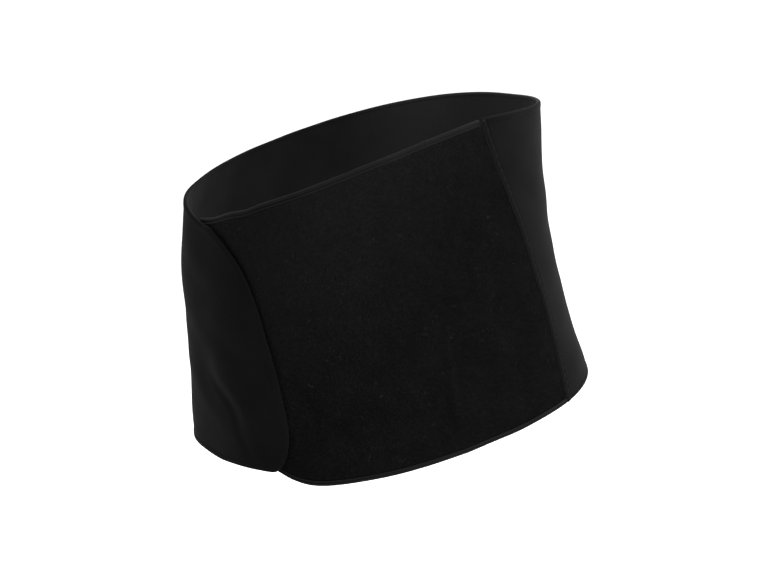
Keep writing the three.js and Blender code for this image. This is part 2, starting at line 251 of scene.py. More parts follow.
def make_object(name, points, faces, uv, materials, from_edge, lined=None):
    """A mesh object at the origin. Points and the map are millimetres, and the mesh is metres.

    from_edge is each point's distance from the piece's edge, and lined marks the faces that take the
    second material."""
    mesh = bpy.data.meshes.new(name)
    mesh.from_pydata((points * MM).tolist(), [], faces.tolist())
    layer = mesh.uv_layers.new(name="cloth_mm")
    loops = np.empty(len(mesh.loops), np.int32)
    mesh.loops.foreach_get("vertex_index", loops)
    layer.data.foreach_set("uv", uv[loops].ravel())
    mesh.polygons.foreach_set("use_smooth", np.ones(len(mesh.polygons), bool))
    give_values(mesh, "from_edge_mm", from_edge)
    for material in materials:
        mesh.materials.append(material)
    if lined is not None:
        mesh.polygons.foreach_set("material_index", lined.astype(np.int32))
    return place_object(name, mesh)


def cloth_layer(name, start, end, bottom, top, outer, thickness, places, rows, relief, materials):
    """A layer of cloth with two faces that meet in a rolled edge all round.

    relief gives how far each face stands proud at a distance from the edge.
    Returns the object, and the grids of directions, height shares, edge distances and face points."""
    flat = start(0.5) + places * (end(0.5) - start(0.5))
    low = bottom(start(0.0) + places * (end(0.0) - start(0.0)))
    high = top(start(1.0) + places * (end(1.0) - start(1.0)))
    height = row_heights(low, high, flat, rows)
    direction = start(height) + places * (end(height) - start(height))
    middle = outer(direction, height) - thickness / 2
    surface = belt_point(direction, height, middle)
    outline = np.concatenate([surface[0], surface[1:, -1], surface[-1, -2::-1], surface[-2:0:-1, 0]])
    distance = edge_distance(surface, outline)
    half = thickness / 2
    roll = np.sqrt(1 - (1 - np.clip(distance / half, 0, 1)) ** 2)
    out_relief, in_relief = relief(direction, height, distance)
    outer_face = belt_point(direction, height, middle + roll * (half + out_relief))
    inner_face = belt_point(direction, height, middle - roll * (half + in_relief))
    count = direction.size
    outer_index = np.arange(count).reshape(direction.shape)
    inner_index = outer_index.copy()
    inner_index[1:-1, 1:-1] = count + np.arange((direction.shape[0] - 2) * (direction.shape[1] - 2)).reshape(
        direction.shape[0] - 2, -1)
    points = np.concatenate([outer_face.reshape(-1, 3), inner_face[1:-1, 1:-1].reshape(-1, 3)])
    around = along_line(belt_point(flat, 0.5, 0)) + HIP_WIDTH / 2 * math.radians(float(flat[0]))
    mapped = np.stack([np.broadcast_to(around, direction.shape), surface[..., 2]], -1)
    uv = np.concatenate([mapped.reshape(-1, 2), mapped[1:-1, 1:-1].reshape(-1, 2)])

    def quads(index):
        return np.stack([index[:-1, :-1], index[:-1, 1:], index[1:, 1:], index[1:, :-1]], -1).reshape(-1, 4)

    faces = np.concatenate([quads(outer_index), quads(inner_index)[:, ::-1]])
    from_edge = np.concatenate([distance.ravel(), distance[1:-1, 1:-1].ravel()])
    lined = (np.arange(len(faces)) >= len(faces) // 2) & (len(materials) > 1)
    made = make_object(name, points, faces, uv, materials, from_edge, lined)
    return made, {"direction": direction, "height": height, "distance": distance,
                  "outer": outer_face, "inner": inner_face}


def linear(colour):
    """An sRGB hex colour as linear red, green, blue and alpha."""
    parts = [int(colour[i:i + 2], 16) / 255 for i in (0, 2, 4)]
    return (*[c / 12.92 if c <= 0.04045 else ((c + 0.055) / 1.055) ** 2.4 for c in parts], 1)


def add(tree, kind, inputs=None, **settings):
    """Adds a node with its settings. Each input is a plain value or another node's output."""
    made = tree.nodes.new(kind)
    for name, value in settings.items():
        setattr(made, name, value)
    for key, value in (inputs or {}).items():
        if isinstance(value, bpy.types.NodeSocket):
            tree.links.new(value, made.inputs[key])
        else:
            made.inputs[key].default_value = value
    return made


def new_material(name):
    material = bpy.data.materials.new(name)
    material.use_nodes = True
    material.node_tree.nodes.clear()
    return material, material.node_tree


def maths(tree, operation, *values):
    """The result of one step of arithmetic on numbers or other nodes' outputs."""
    return add(tree, "ShaderNodeMath", dict(enumerate(values)), operation=operation).outputs[0]


def ranged(tree, value, low, high, least, most, curve="LINEAR"):
    """A value that goes from least to most as the given one goes from low to high."""
    return add(tree, "ShaderNodeMapRange", {
        "Value": value, "From Min": low, "From Max": high, "To Min": least, "To Max": most},
        interpolation_type=curve).outputs[0]


def noise(tree, place, span, detail, **inputs):
    """Soft noise in patches about span across, in millimetres."""
    return add(tree, "ShaderNodeTexNoise", {"Vector": place, "Scale": 1 / span, "Detail": detail, **inputs},
               noise_dimensions="2D").outputs[0]


def mixed(tree, factor, first, second):
    """A colour that goes from the first to the second as the factor goes from 0 to 1."""
    return add(tree, "ShaderNodeMix", {"Factor": factor, "A": first, "B": second},
               data_type="RGBA").outputs["Result"]


def colour_ramp(tree, tone, dark, light, start=0.0, end=1.0):
    """A colour that goes from dark to light as the tone goes from start to end."""
    ramp = add(tree, "ShaderNodeValToRGB", {0: tone})
    first, last = ramp.color_ramp.elements
    first.position, last.position = start, end
    first.color, last.color = linear(dark), linear(light)
    return ramp.outputs[0]


def set_shader(tree, inputs):
    """Ends a material with its shader."""
    shader = add(tree, "ShaderNodeBsdfPrincipled", inputs)
    add(tree, "ShaderNodeOutputMaterial", {0: shader.outputs[0]})


def mottled(tree, place, fuzz_span, patch_span, detail, roughness, fuzz_share, ramp_start, dark, light):
    """A colour in soft patches, and the finer fuzz that lies over them. Spans are millimetres."""
    fuzz = noise(tree, place, fuzz_span, detail, Roughness=roughness)
    patches = noise(tree, place, patch_span, detail, Roughness=roughness - 0.05)
    tone = maths(tree, "MULTIPLY_ADD", patches, 1 - fuzz_share, maths(tree, "MULTIPLY", fuzz, fuzz_share))
    return colour_ramp(tree, tone, dark, light, ramp_start, 0.7), fuzz


def cloth_shader(tree, colour, height, strength, depth, roughness, gloss, sheen, sheen_roughness):
    """The shader of a cloth. depth is the depth of its relief in millimetres."""
    bump = add(tree, "ShaderNodeBump", {"Height": height, "Strength": strength, "Distance": depth * MM})
    set_shader(tree, {
        "Base Color": colour, "Roughness": roughness, "Normal": bump.outputs[0],
        "Specular IOR Level": gloss, "Sheen Weight": sheen, "Sheen Roughness": sheen_roughness,
        "Sheen Tint": linear("bcbcc0")})


def knit_cloth(name, dark, light, painted_edge_colour, painted_edge_reach, wale, course, depth, roughness, gloss, sheen, grain,
               painted_light_colour=None):
    """A fine knit. wale and course are the spacings of its columns and rows in millimetres. Its rolled
    edge takes a painted edge colour over the given reach in millimetres: painted shade where it is darker
    than the cloth, painted light where it is paler. The last colour is painted light that it takes where the
    piece's own attribute says so."""
    material, tree = new_material(name)
    place = add(tree, "ShaderNodeUVMap", uv_map="cloth_mm").outputs[0]
    split = add(tree, "ShaderNodeSeparateXYZ", {0: place})
    lines = [maths(tree, "SINE", maths(tree, "MULTIPLY", split.outputs[axis], 2 * math.pi / spacing))
             for axis, spacing in enumerate((wale, course))]
    colour, fuzz = mottled(tree, place, fuzz_span=grain, patch_span=34, detail=3.0, roughness=0.6,
                           fuzz_share=0.4, ramp_start=0.3, dark=dark, light=light)
    height = maths(tree, "MULTIPLY_ADD", maths(tree, "MULTIPLY", *lines), 0.5, fuzz)
    edge = add(tree, "ShaderNodeAttribute", attribute_name="from_edge_mm")
    # The rolled edge takes a painted colour: painted shade on the band and lining, painted light on the seam
    # strip.
    painted_edge_share = ranged(tree, edge.outputs["Fac"], 0.0, painted_edge_reach, 1.0, 0.0, "SMOOTHSTEP")
    edge_painted_colour = mixed(tree, painted_edge_share, colour, linear(painted_edge_colour))
    # Painted light: a paler colour where the piece's attribute says light falls.
    if painted_light_colour:
        paler = add(tree, "ShaderNodeAttribute", attribute_name="washed_out")
        edge_painted_colour = mixed(tree, paler.outputs["Fac"], edge_painted_colour, linear(painted_light_colour))
    cloth_shader(tree, edge_painted_colour, height, strength=0.5, depth=depth, roughness=roughness, gloss=gloss,
                 sheen=sheen, sheen_roughness=0.3)
    return material


# Warp knit of fine polyester, bonded to foam: an even matt face with a faint light bloom where it turns away.
# Its rolled edges are a touch darker, as painted shade.
BAND_CLOTH = knit_cloth("polyester_knit_bonded", "0a0a0a", "0e0e0e", "0b0b0b", 5, wale=1.3, course=1.1,
                        depth=0.12, roughness=0.8, gloss=0.015, sheen=0.045, grain=1.6)
# The lining that lies on the body is the same knit, unbrushed. It is a shade lighter as painted light, where
# light falls into the belt, with painted shade on its rolled edges and more painted light towards the
# wearer's left.
LINING_CLOTH = knit_cloth("polyester_knit_lining", "0e0e0e", "131313", "0d0d0d", 4.5, wale=1.3, course=1.1,
                          depth=0.12, roughness=0.8, gloss=0.02, sheen=0.1, grain=1.6, painted_light_colour="212121")

HEM_OUTSIDE, HEM_INSIDE = 4.9, 2.8
HEM_PUFF, HEM_GROOVE, GROOVE_WIDTH, PUFF_RISE, PUFF_ENDS, PUFF_FALL = 0.35, 0.25, 0.45, 1.5, 1.4, 3
SEAM_GROOVE_AT, SEAM_GROOVE, SEAM_FLAT = 4.3, 0.5, 8
FLAP_DROOP, FLAP_DROOP_REACH, FLAP_DROOP_FROM, FLAP_DROOP_TURN = 0.6, 5, 272, 5


def stitched_hem(distance, hem):
    """The turned edge is thicker than the rest, and its stitches are drawn in."""
    puff = HEM_PUFF * smooth(distance / PUFF_RISE) * (1 - smooth((distance - hem + PUFF_ENDS) / PUFF_FALL))
    return puff - HEM_GROOVE * np.exp(-((distance - hem) / GROOVE_WIDTH) ** 2)


def hem_relief(direction, height, distance):
    """The hem runs round the free edges. Beside the seam the band is flat, but for a groove along the strip.
    The flap's own edge bends down to the pile."""
    from_seam = (direction - seam_direction(height)) / degrees(1, direction, height)
    free = smooth((from_seam - SEAM_FLAT / 2) / (SEAM_FLAT / 2))
    groove = SEAM_GROOVE * np.exp(-((from_seam - SEAM_GROOVE_AT) / GROOVE_WIDTH) ** 2)
    on_flap = smooth((direction - FLAP_DROOP_FROM) / FLAP_DROOP_TURN)
    droop = FLAP_DROOP * (1 - smooth(distance / FLAP_DROOP_REACH)) * on_flap
    return (free * stitched_hem(distance, HEM_OUTSIDE) - groove - droop,
            free * stitched_hem(distance, HEM_INSIDE) - droop)


def flap_direction(height):
    return read(FLAP_EDGE, "height", height, "direction")


def band_start(height):
    return beside_seam(height, CLEARANCE / 2)


def band_bottom(direction):
    low = read(FLAP_TAPER, "direction", np.maximum(direction, FLAP_TAPER["direction"][0]), "bottom")
    corner = corner_share(flap_direction(0.0) - direction, FLAP_BOTTOM_CORNER["length"])
    return low + (FLAP_BOTTOM_CORNER["meets"] - low) * corner


def band_top(direction):
    high = read(FLAP_TAPER, "direction", np.maximum(direction, FLAP_TAPER["direction"][0]), "top")
    corner = corner_share(flap_direction(1.0) - direction, FLAP_TOP_CORNER["length"])
    return high + (FLAP_TOP_CORNER["meets"] - high) * corner


def nearest_on_path(path, direction, height):
    """The lift of a path of places where it comes nearest, and the distance to it in millimetres. Seen from
    outside, the distance is positive above a path that runs down to the right."""
    lift, aside = np.zeros(np.shape(direction)), np.zeros(np.shape(direction))
    nearest = np.full(np.shape(direction), np.inf)
    for i in range(len(path["height"]) - 1):
        d0, h0, l0 = (path[key][i] for key in ("direction", "height", "lift"))
        d1, h1, l1 = (path[key][i + 1] for key in ("direction", "height", "lift"))
        per_degree, tall = degrees(1, d0, h0), belt_height(d0)
        along = np.array([(d1 - d0) / per_degree, (h1 - h0) * tall])
        x, y = (direction - d0) / per_degree, (height - h0) * tall
        share = np.clip((x * along[0] + y * along[1]) / (along @ along), 0, 1)
        away = np.hypot(x - share * along[0], y - share * along[1])
        side = np.where(x * along[1] - y * along[0] < 0, away, -away)
        lift = np.where(away < nearest, l0 + share * (l1 - l0), lift)
        aside = np.where(away < nearest, side, aside)
        nearest = np.minimum(away, nearest)
    return lift, aside


def fold_lift(direction, height):
    """The soft fold down the flap's lower corner: it falls from a broad crest, over a slope that turns to
    the side, to a narrow crease with a low bank beyond it."""
    crest, aside = nearest_on_path(FLAP_FOLD, direction, height)
    slope = smooth((aside + FOLD_SLOPE) / (2 * FOLD_SLOPE)) * (1 + FOLD_HOLLOW) - FOLD_HOLLOW
    top = np.where(aside > FOLD_SLOPE, np.exp(-((aside - FOLD_SLOPE) / FOLD_REACH) ** 2), slope)
    beyond = np.minimum(aside, -FOLD_SLOPE) + FOLD_SLOPE
    foot = np.exp(-(beyond / FOLD_CREASE) ** 2)
    bank = FOLD_BANK * (1 - foot) * np.exp(-(beyond / FOLD_REACH) ** 2)
    shape = np.where(aside < -FOLD_SLOPE, bank - FOLD_HOLLOW * foot, top)
    return FOLD_LIFT * np.where(direction < FLAP_TAPER["direction"][0], 0, crest * shape)


def band_outer(direction, height):
    full = PANEL_END_DIRECTION + 360 - BAND_RETURN_ROOM
    over = smooth(1 - (full - direction) / BAND_RETURN)
    return FLAP_STANDS_OUT * over + fold_lift(direction, height)


def arc_length(start, end, height=0.5):
    line = belt_point(np.linspace(float(start(height)), float(end(height)), 400), height, 0)
    return np.linalg.norm(np.diff(line, axis=0), axis=1).sum()


FLAP_MIDDLE = 285.0
band_length = arc_length(band_start, flap_direction)
corner_length = FLAP_TOP_CORNER["length"] / degrees(1, FLAP_MIDDLE, 0.5)
band, band_grid = cloth_layer(
    "band_cloth", band_start, flap_direction, band_bottom, band_top, band_outer, BAND_THICKNESS,
    column_places(band_length, 0, corner_length, step=2.6), rows=76, relief=hem_relief,
    materials=[BAND_CLOTH, LINING_CLOTH])
# Painted light: the lining is paler towards the wearer's left, where light falls on the inner wall.
PALER_FROM, PALER_OVER = 0.03, 0.11
band_across = np.array([vertex.co.x for vertex in band.data.vertices])
give_values(band.data, "washed_out", smooth((band_across - PALER_FROM) / PALER_OVER))
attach(band, "root")
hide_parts("body_band")


def new_tree(name, **sizes):
    """A Geometry Nodes tree with a geometry input and named sizes in metres, or whole numbers."""
    tree = bpy.data.node_groups.new(name, "GeometryNodeTree")
    tree.interface.new_socket("Geometry", in_out="INPUT", socket_type="NodeSocketGeometry")
    for size, value in sizes.items():
        kind = {int: "NodeSocketInt", float: "NodeSocketFloat"}.get(type(value), "NodeSocketMaterial")
        tree.interface.new_socket(size.replace("_", " "), in_out="INPUT", socket_type=kind)
    tree.interface.new_socket("Geometry", in_out="OUTPUT", socket_type="NodeSocketGeometry")
    return tree, add(tree, "NodeGroupInput")


def end_tree(tree, geometry, material):
    real = add(tree, "GeometryNodeRealizeInstances", {0: geometry})
    soft = add(tree, "GeometryNodeSetShadeSmooth", {0: real.outputs[0]})
    done = add(tree, "GeometryNodeSetMaterial", {0: soft.outputs[0], "Material": material})
    add(tree, "NodeGroupOutput", {0: done.outputs[0]})


def grown(source, tree, name, sizes):
    """Runs a tree on a piece and returns its result as a plain mesh object."""
    modifier = source.modifiers.new("grow", "NODES")
    modifier.node_group = tree
    for item in tree.interface.items_tree:
        if item.in_out == "INPUT" and item.name.replace(" ", "_") in sizes:
            modifier[item.identifier] = sizes[item.name.replace(" ", "_")]
    mesh = bpy.data.meshes.new_from_object(source.evaluated_get(bpy.context.evaluated_depsgraph_get()))
    source.modifiers.remove(modifier)
    mesh.name = name
    return place_object(name, mesh)


def line_object(lines):
    """A mesh of open lines of points, in millimetres, for thread to follow."""
    starts = np.cumsum([0] + [len(line) for line in lines])
    edges = [(i, i + 1) for a, b in zip(starts[:-1], starts[1:]) for i in range(a, b - 1)]
    mesh = bpy.data.meshes.new("sewing_line")
    mesh.from_pydata((np.concatenate(lines) * MM).tolist(), edges, [])
    return place_object("sewing_line", mesh)


def lockstitch_tree():
    """One long bead of thread at each step along a line, laid flat on the cloth."""
    tree, given = new_tree("lockstitch", Stitch_pitch=0.0, Stitch_length=0.0, Thread_width=0.0, Thread=None)
    pitch, length, width, thread = (given.outputs[i] for i in range(1, 5))
    curve = add(tree, "GeometryNodeMeshToCurve", {0: given.outputs[0]})
    steps = add(tree, "GeometryNodeResampleCurve", {"Curve": curve.outputs[0], "Length": pitch},
                mode="LENGTH")
    bead = add(tree, "GeometryNodeMeshUVSphere", {"Segments": 6, "Rings": 4, "Radius": 0.5})
    size = add(tree, "ShaderNodeCombineXYZ", {0: length, 1: width, 2: width})
    stitch = add(tree, "GeometryNodeTransform", {0: bead.outputs[0], "Scale": size.outputs[0]})
    along = add(tree, "FunctionNodeAlignRotationToVector", {
        "Vector": add(tree, "GeometryNodeInputTangent").outputs[0]}, axis="X")
    placed = add(tree, "GeometryNodeInstanceOnPoints", {
        "Points": steps.outputs[0], "Instance": stitch.outputs[0], "Rotation": along.outputs[0]})
    end_tree(tree, placed.outputs[0], thread)
    return tree


# Half the length in metres that a band of the wave texture takes along one axis, at a scale of 1.
WAVE_SPAN = 0.314


def spun_thread(name, dark, light, twist):
    """Sewing thread. A turn of its plies is a little longer than twist, in millimetres, where the thread
    runs along the diagonal of the axes, and longer elsewhere."""
    material, tree = new_material(name)
    plies = add(tree, "ShaderNodeTexWave", {
        "Vector": add(tree, "ShaderNodeTexCoord").outputs["Object"], "Scale": WAVE_SPAN / (twist * MM),
        "Distortion": 1.0}, wave_type="BANDS", bands_direction="DIAGONAL")
    set_shader(tree, {"Base Color": colour_ramp(tree, plies.outputs["Fac"], dark, light),
                      "Roughness": 0.7, "Specular IOR Level": 0.03})
    return material


# Spun polyester sewing thread, dyed to the cloth: its beads show only where light falls across them.
THREAD = spun_thread("polyester_thread_spun", "0a0a0a", "101010", twist=1.1)
LOCKSTITCH = lockstitch_tree()


def sew(name, lines, pitch, length, width, thread):
    """Rows of lockstitch along lines on the cloth, as one piece. All sizes are millimetres."""
    source = line_object(lines)
    made = grown(source, LOCKSTITCH, name, {"Stitch_pitch": pitch * MM, "Stitch_length": length * MM,
                                            "Thread_width": width * MM, "Thread": thread})
    bpy.data.objects.remove(source)
    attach(made, "root")
    return made


LINE_STEP = 0.8


def hem_line(points, distance, inset):
    """The line on a face of a piece at a distance from its edge: along the lower edge and back along
    the upper one."""
    columns = np.nonzero(distance.max(0) > inset + 0.05)[0]

    def crossing(points, distance):
        row = np.argmax(distance >= inset, axis=0)[columns]
        below, above = distance[row - 1, columns], distance[row, columns]
        share = ((inset - below) / np.maximum(above - below, 1e-9))[:, None]
        return points[row - 1, columns] * (1 - share) + points[row, columns] * share

    line = np.concatenate([crossing(points, distance), crossing(points[::-1], distance[::-1])[::-1]])
    kept = [line[0]]
    for point in line[1:]:
        if np.linalg.norm(point - kept[-1]) >= LINE_STEP:
            kept.append(point)
    return np.array(kept)


band_stitches = sew("band_hem_stitches", [
    hem_line(band_grid["outer"], band_grid["distance"], HEM_OUTSIDE),
    hem_line(band_grid["inner"], band_grid["distance"], HEM_INSIDE)],
    pitch=3.1, length=2.5, width=0.42, thread=THREAD)


# Front panel.
# The tall front piece: foam faced with a short looped pile that the flap's hooks catch anywhere. It runs
# from the side seam across the belly and ends, narrowed, under the flap.

PANEL_TAPER = table("direction bottom top",
                    (-104, 0.2, 0.955), (-90, 0.16, 0.977), (-78, 0.105, 0.989), (-70, 0.066, 0.982),
                    (-66, 0.044, 0.984), (-62, 0.021, 0.986), (-57.5, 0.005, 0.988), (-53, 0, 0.99),
                    (-40, 0, 0.997), (-25, 0, 1), (0, 0, 1))
PANEL_END_CORNER, PANEL_CORNER_RISE = 8, 0.1
BINDING_OVER_EDGE = CLEARANCE + BINDING_THICKNESS


def panel_end(height):
    return beside_seam(height, -CLEARANCE / 2)


def panel_edge(direction, edge):
    return read(PANEL_TAPER, "direction", np.minimum(direction, 0), edge)


def drawn_in(direction):
    return (BINDING_OVER_EDGE / belt_height(direction)
            + PANEL_CORNER_RISE * corner_share(direction - PANEL_END_DIRECTION, PANEL_END_CORNER))


def panel_bottom(direction):
    return panel_edge(direction, "bottom") + drawn_in(direction)


def panel_top(direction):
    return panel_edge(direction, "top") - drawn_in(direction)


PRESSED_EDGE = 0.75


def from_bound_edge(direction, height):
    """The distance up or down to the nearer of the panel's two bound edges, in millimetres."""
    share = np.minimum(height - panel_bottom(direction), panel_top(direction) - height)
    return share * belt_height(direction)


# Two long soft ridges near the middle line, and a shallow hollow that runs down from the flap's edge.
PANEL_CREASES = (
    table("direction height lift reach", (-3.2, 0.42, 0, 4), (-3, 0.33, 1, 4), (-2.9, 0.22, 1.2, 4),
          (-2.5, 0.13, 1, 4), (-2, 0.06, 0, 4)),
    table("direction height lift reach", (-27, 0.46, 0, 5), (-24, 0.34, 0.8, 5), (-19, 0.2, 0.8, 5),
          (-16, 0.1, 0, 5)),
    table("direction height lift reach", (-60, 0.36, -0.9, 7), (-51, 0.23, -1.3, 7), (-43, 0.15, -0.8, 7),
          (-37, 0.1, 0, 7)))


def crease_lift(path, direction, height):
    """How far a crease along a path of places lifts the pile there, in millimetres."""
    lift, aside = nearest_on_path(path, direction, height)
    return lift * np.exp(-(aside / path["reach"][0]) ** 2)


PILE_RIPPLE, RIPPLE_FROM_EDGE = 0.14, 8
PRESSED_FROM, PRESSED_OVER = 2.4, 2.6


def pile_relief(direction, height, distance):
    """The pile lies a little unevenly with soft creases, and the bound edge is pressed thin."""
    inside = smooth(distance / RIPPLE_FROM_EDGE)
    ripple = PILE_RIPPLE * waves(direction, height, seed=23, count=12, shortest=5, longest=16) * inside
    for path in PANEL_CREASES:
        ripple = ripple + crease_lift(path, direction, height) * inside
    flat_from = from_bound_edge(direction, height) - PRESSED_FROM
    pressed = PRESSED_EDGE * (1 - smooth(flat_from / PRESSED_OVER))
    return ripple - pressed, -pressed


FLECK_LENGTH, FLECK_DRIFT, FLECK_COLOUR = 3.2, 22, "242424"
FLECKS_FROM, FLECKS_FULL, DRIFT_FROM, DRIFT_FULL, FLECKS_MOST = 0.69, 0.76, 0.48, 0.66, 0.55
# Painted light: the pile is lighter towards the top, where light from above falls. It starts at the low
# height and is full
# at the high one, up to the given share: metres of height, with the slant times the metres to the wearer's
# left added.
TOP_LIGHT_SLANT, TOP_LIGHT_LOW, TOP_LIGHT_HIGH, TOP_LIGHT_SHARE = -0.9, 0.13, 0.28, 0.62


def pile_cloth(name, dark, light, top_light_colour, loop, depth):
    """A looped pile. loop is the spacing of its loops in millimetres, and the third colour is painted light:
    the colour it takes at the top on the wearer's right, where light from above falls."""
    material, tree = new_material(name)
    place = add(tree, "ShaderNodeUVMap", uv_map="cloth_mm").outputs[0]
    cells = add(tree, "ShaderNodeTexVoronoi", {"Vector": place, "Scale": 1 / loop},
                voronoi_dimensions="2D", feature="SMOOTH_F1")
    colour, fuzz = mottled(tree, place, fuzz_span=2.4, patch_span=26, detail=4.0, roughness=0.65,
                           fuzz_share=0.45, ramp_start=0.32, dark=dark, light=light)
    body = add(tree, "ShaderNodeSeparateXYZ", {0: add(tree, "ShaderNodeTexCoord").outputs["Object"]})
    # Painted light: lighter towards the top, on the wearer's right.
    upward = maths(tree, "MULTIPLY_ADD", body.outputs[0], TOP_LIGHT_SLANT, body.outputs[2])
    top_lit_colour = mixed(tree, ranged(tree, upward, TOP_LIGHT_LOW, TOP_LIGHT_HIGH, 0.0, TOP_LIGHT_SHARE), colour, linear(top_light_colour))
    drifts = noise(tree, place, FLECK_DRIFT, 1.0)
    most = ranged(tree, drifts, DRIFT_FROM, DRIFT_FULL, 0.0, FLECKS_MOST)
    flecks = noise(tree, place, FLECK_LENGTH, 1.5, Distortion=1.2)
    lint = ranged(tree, flecks, FLECKS_FROM, FLECKS_FULL, 0.0, most)
    dusted = mixed(tree, lint, top_lit_colour, linear(FLECK_COLOUR))
    height = maths(tree, "MULTIPLY_ADD", cells.outputs[0], -0.8, fuzz)
    cloth_shader(tree, dusted, height, strength=0.8, depth=depth,
                 roughness=0.95, gloss=0.01, sheen=0.008, sheen_roughness=0.5)
    return material


# Brushed nylon loop pile: light is lost between its loops, so it is the darkest cloth, with a dull nap. Its
# upper part is painted lighter as painted light.
PANEL_CLOTH = pile_cloth("nylon_loop_pile_brushed", "0a0a0a", "0f0f0f", "171717", loop=1.1, depth=0.45)

PANEL_END_MIDDLE = -100.0
panel_start = level(PANEL_END_DIRECTION)
panel_length = arc_length(panel_start, panel_end)
panel_corner = PANEL_END_CORNER / degrees(1, PANEL_END_MIDDLE, 0.5)
panel, panel_grid = cloth_layer(
    "panel_cloth", panel_start, panel_end, panel_bottom, panel_top, level(0), PANEL_THICKNESS,
    column_places(panel_length, panel_corner, 0, step=2.0, turns=16), rows=90, relief=pile_relief,
    materials=[PANEL_CLOTH, LINING_CLOTH])
# No loops stand where the flap lies on the pile, past a strip along the flap's edges, or under the bindings.
LOOPLESS_EDGE, LOOPLESS_SEAM, EDGE_FADE, SEAM_FADE = 3.2, 0.8, 1.2, 0.6
RIM_TURN, RIM_SHARE = 2, 0.02
turned = panel_grid["direction"] + 360
share_up = panel_grid["height"]
covered = (smooth((flap_direction(share_up) - turned - RIM_TURN) / RIM_TURN)
           * smooth((band_top(turned) - share_up) / RIM_SHARE - 1)
           * smooth((share_up - band_bottom(turned)) / RIM_SHARE - 1))
to_seam = (panel_end(share_up) - panel_grid["direction"]) / degrees(1, panel_grid["direction"], share_up)
panel_pile_share = (smooth((from_bound_edge(panel_grid["direction"], share_up) - LOOPLESS_EDGE) / EDGE_FADE)
                    * smooth((to_seam - LOOPLESS_SEAM) / SEAM_FADE) * (1 - covered))
pile_share = np.zeros(len(panel.data.vertices))
pile_share[:panel_pile_share.size] = panel_pile_share.ravel()
give_values(panel.data, "pile_share", pile_share)


LOOP_SUNK, LOOP_LEAN, LOOP_SMALLEST, LOOP_LARGEST = 0.25, 0.35, 0.7, 1.25


def loop_pile_tree():
    """Small arched loops scattered on the cloth, each turned and leaned its own way. The feet of a loop sink
    a share of its height into the cloth."""
    tree, given = new_tree("loop_pile", Loops_per_square_metre=0.0, Loop_span=0.0, Loop_height=0.0,
                           Loop_width=0.0, Seed=0, Pile=None)
    density, span, tall, wide, seed, pile = (given.outputs[i] for i in range(1, 7))
    share = add(tree, "GeometryNodeInputNamedAttribute", {0: "pile_share"}, data_type="FLOAT")
    many = maths(tree, "MULTIPLY", density, share.outputs[0])
    points = add(tree, "GeometryNodeDistributePointsOnFaces", {
        "Mesh": given.outputs[0], "Density": many, "Seed": seed})
    strip = add(tree, "GeometryNodeMeshGrid", {
        "Size X": 1.0, "Size Y": 1.0, "Vertices X": 3, "Vertices Y": 2})
    place = add(tree, "ShaderNodeSeparateXYZ", {0: add(tree, "GeometryNodeInputPosition").outputs[0]})
    arch = maths(tree, "MULTIPLY", place.outputs[0], place.outputs[0])
    rise = maths(tree, "MULTIPLY_ADD", arch, -4.0, 1 - LOOP_SUNK)
    lifted = add(tree, "ShaderNodeCombineXYZ", {2: rise})
    bent = add(tree, "GeometryNodeSetPosition", {0: strip.outputs[0], "Offset": lifted.outputs[0]})
    size = add(tree, "ShaderNodeCombineXYZ", {0: span, 1: wide, 2: tall})
    loop = add(tree, "GeometryNodeTransform", {0: bent.outputs[0], "Scale": size.outputs[0]})
    turn = add(tree, "FunctionNodeRandomValue", {
        0: (-LOOP_LEAN, -LOOP_LEAN, 0.0), 1: (LOOP_LEAN, LOOP_LEAN, 2 * math.pi), "Seed": seed},
        data_type="FLOAT_VECTOR")
    own = add(tree, "FunctionNodeEulerToRotation", {0: turn.outputs[0]})
    turned = add(tree, "FunctionNodeRotateRotation", {
        0: points.outputs["Rotation"], 1: own.outputs[0]}, rotation_space="LOCAL")
    grade = add(tree, "FunctionNodeRandomValue", {
        "Min": LOOP_SMALLEST, "Max": LOOP_LARGEST, "Seed": seed}, data_type="FLOAT")
    placed = add(tree, "GeometryNodeInstanceOnPoints", {
        "Points": points.outputs[0], "Instance": loop.outputs[0], "Rotation": turned.outputs[0],
        "Scale": grade.outputs["Value"]})
    end_tree(tree, placed.outputs[0], pile)
    return tree


pile_loops = grown(panel, loop_pile_tree(), "panel_loop_pile", {
    "Loops_per_square_metre": 760000.0, "Loop_span": 1.3 * MM, "Loop_height": 0.7 * MM,
    "Loop_width": 0.6 * MM, "Seed": 7, "Pile": PANEL_CLOTH})
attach(panel, "root")
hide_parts("front_panel")
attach(pile_loops, "root")


# Edge bindings.
# A narrow smooth stretch tape folded over each long edge of the front panel and sewn through with one line
# of stitches, which pulls a groove along it and leaves a small bead below.

SEAM_OVER_PANEL = 1.5
TOP_BINDING_WIDTH, BOTTOM_BINDING_WIDTH = 4.6, 4.2
TAPE_RADIUS, TAPE_THICKNESS, TAPE_LEAST, TAPE_GROOVE_DEPTH, TAPE_BEAD = 1.75, 0.7, 0.3, 0.75, 0.2
# Shares of the tape's width: where its stitches and its bead lie, and how wide the groove and bead are.
STITCH_AT, BEAD_AT, GROOVE_WIDE, BEAD_WIDE = 0.62, 0.88, 0.1, 0.11
TAPE_TIP, TAPE_STEP, BINDING_COLUMNS = 0.22, 0.12, 340
# The pulled-in line of stitches is deepest on the wearer's right and fades towards the seam.
TAPE_GROOVE = table("direction share", (-104, 1), (-50, 0.9), (-20, 0.5), (0, 0.35), (20, 0.2), (60, 0.1))


